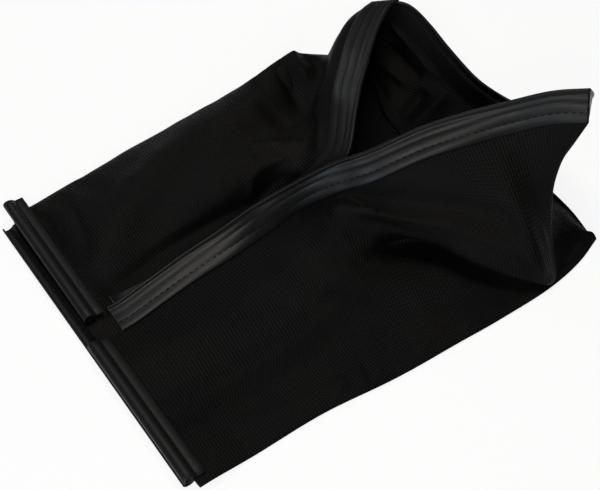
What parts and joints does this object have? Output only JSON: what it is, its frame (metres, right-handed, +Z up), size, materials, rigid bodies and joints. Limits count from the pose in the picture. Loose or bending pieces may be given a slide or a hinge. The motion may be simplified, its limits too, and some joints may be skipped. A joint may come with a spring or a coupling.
{
  "type": "mower grass collection bag",
  "caption": "Open-fronted woven mesh bag, empty and lying collapsed, with a beaded vinyl edging round its rim and stiff hook clips along its front edges.",
  "frame": {"origin": "middle of the bag's outline, on the surface it lies on", "axes": "+X from the front clips to the rear panel, +Y from the near side to the far side, +Z up"},
  "size_m": [0.64, 0.476, 0.2005],
  "materials": {
    "mesh_fabric": "black coated woven mesh, satin",
    "edging_vinyl": "flexible black vinyl, semi-gloss",
    "clip_plastic": "extruded black plastic, satin"
  },
  "bodies": {
    "root": {"wrap_panel": "mesh_fabric", "rear_panel": "mesh_fabric", "rim_strip": "edging_vinyl", "front_bottom_clip": "clip_plastic", "far_side_clip": "clip_plastic", "near_side_clip": "clip_plastic"}
  },
  "joints": []
}
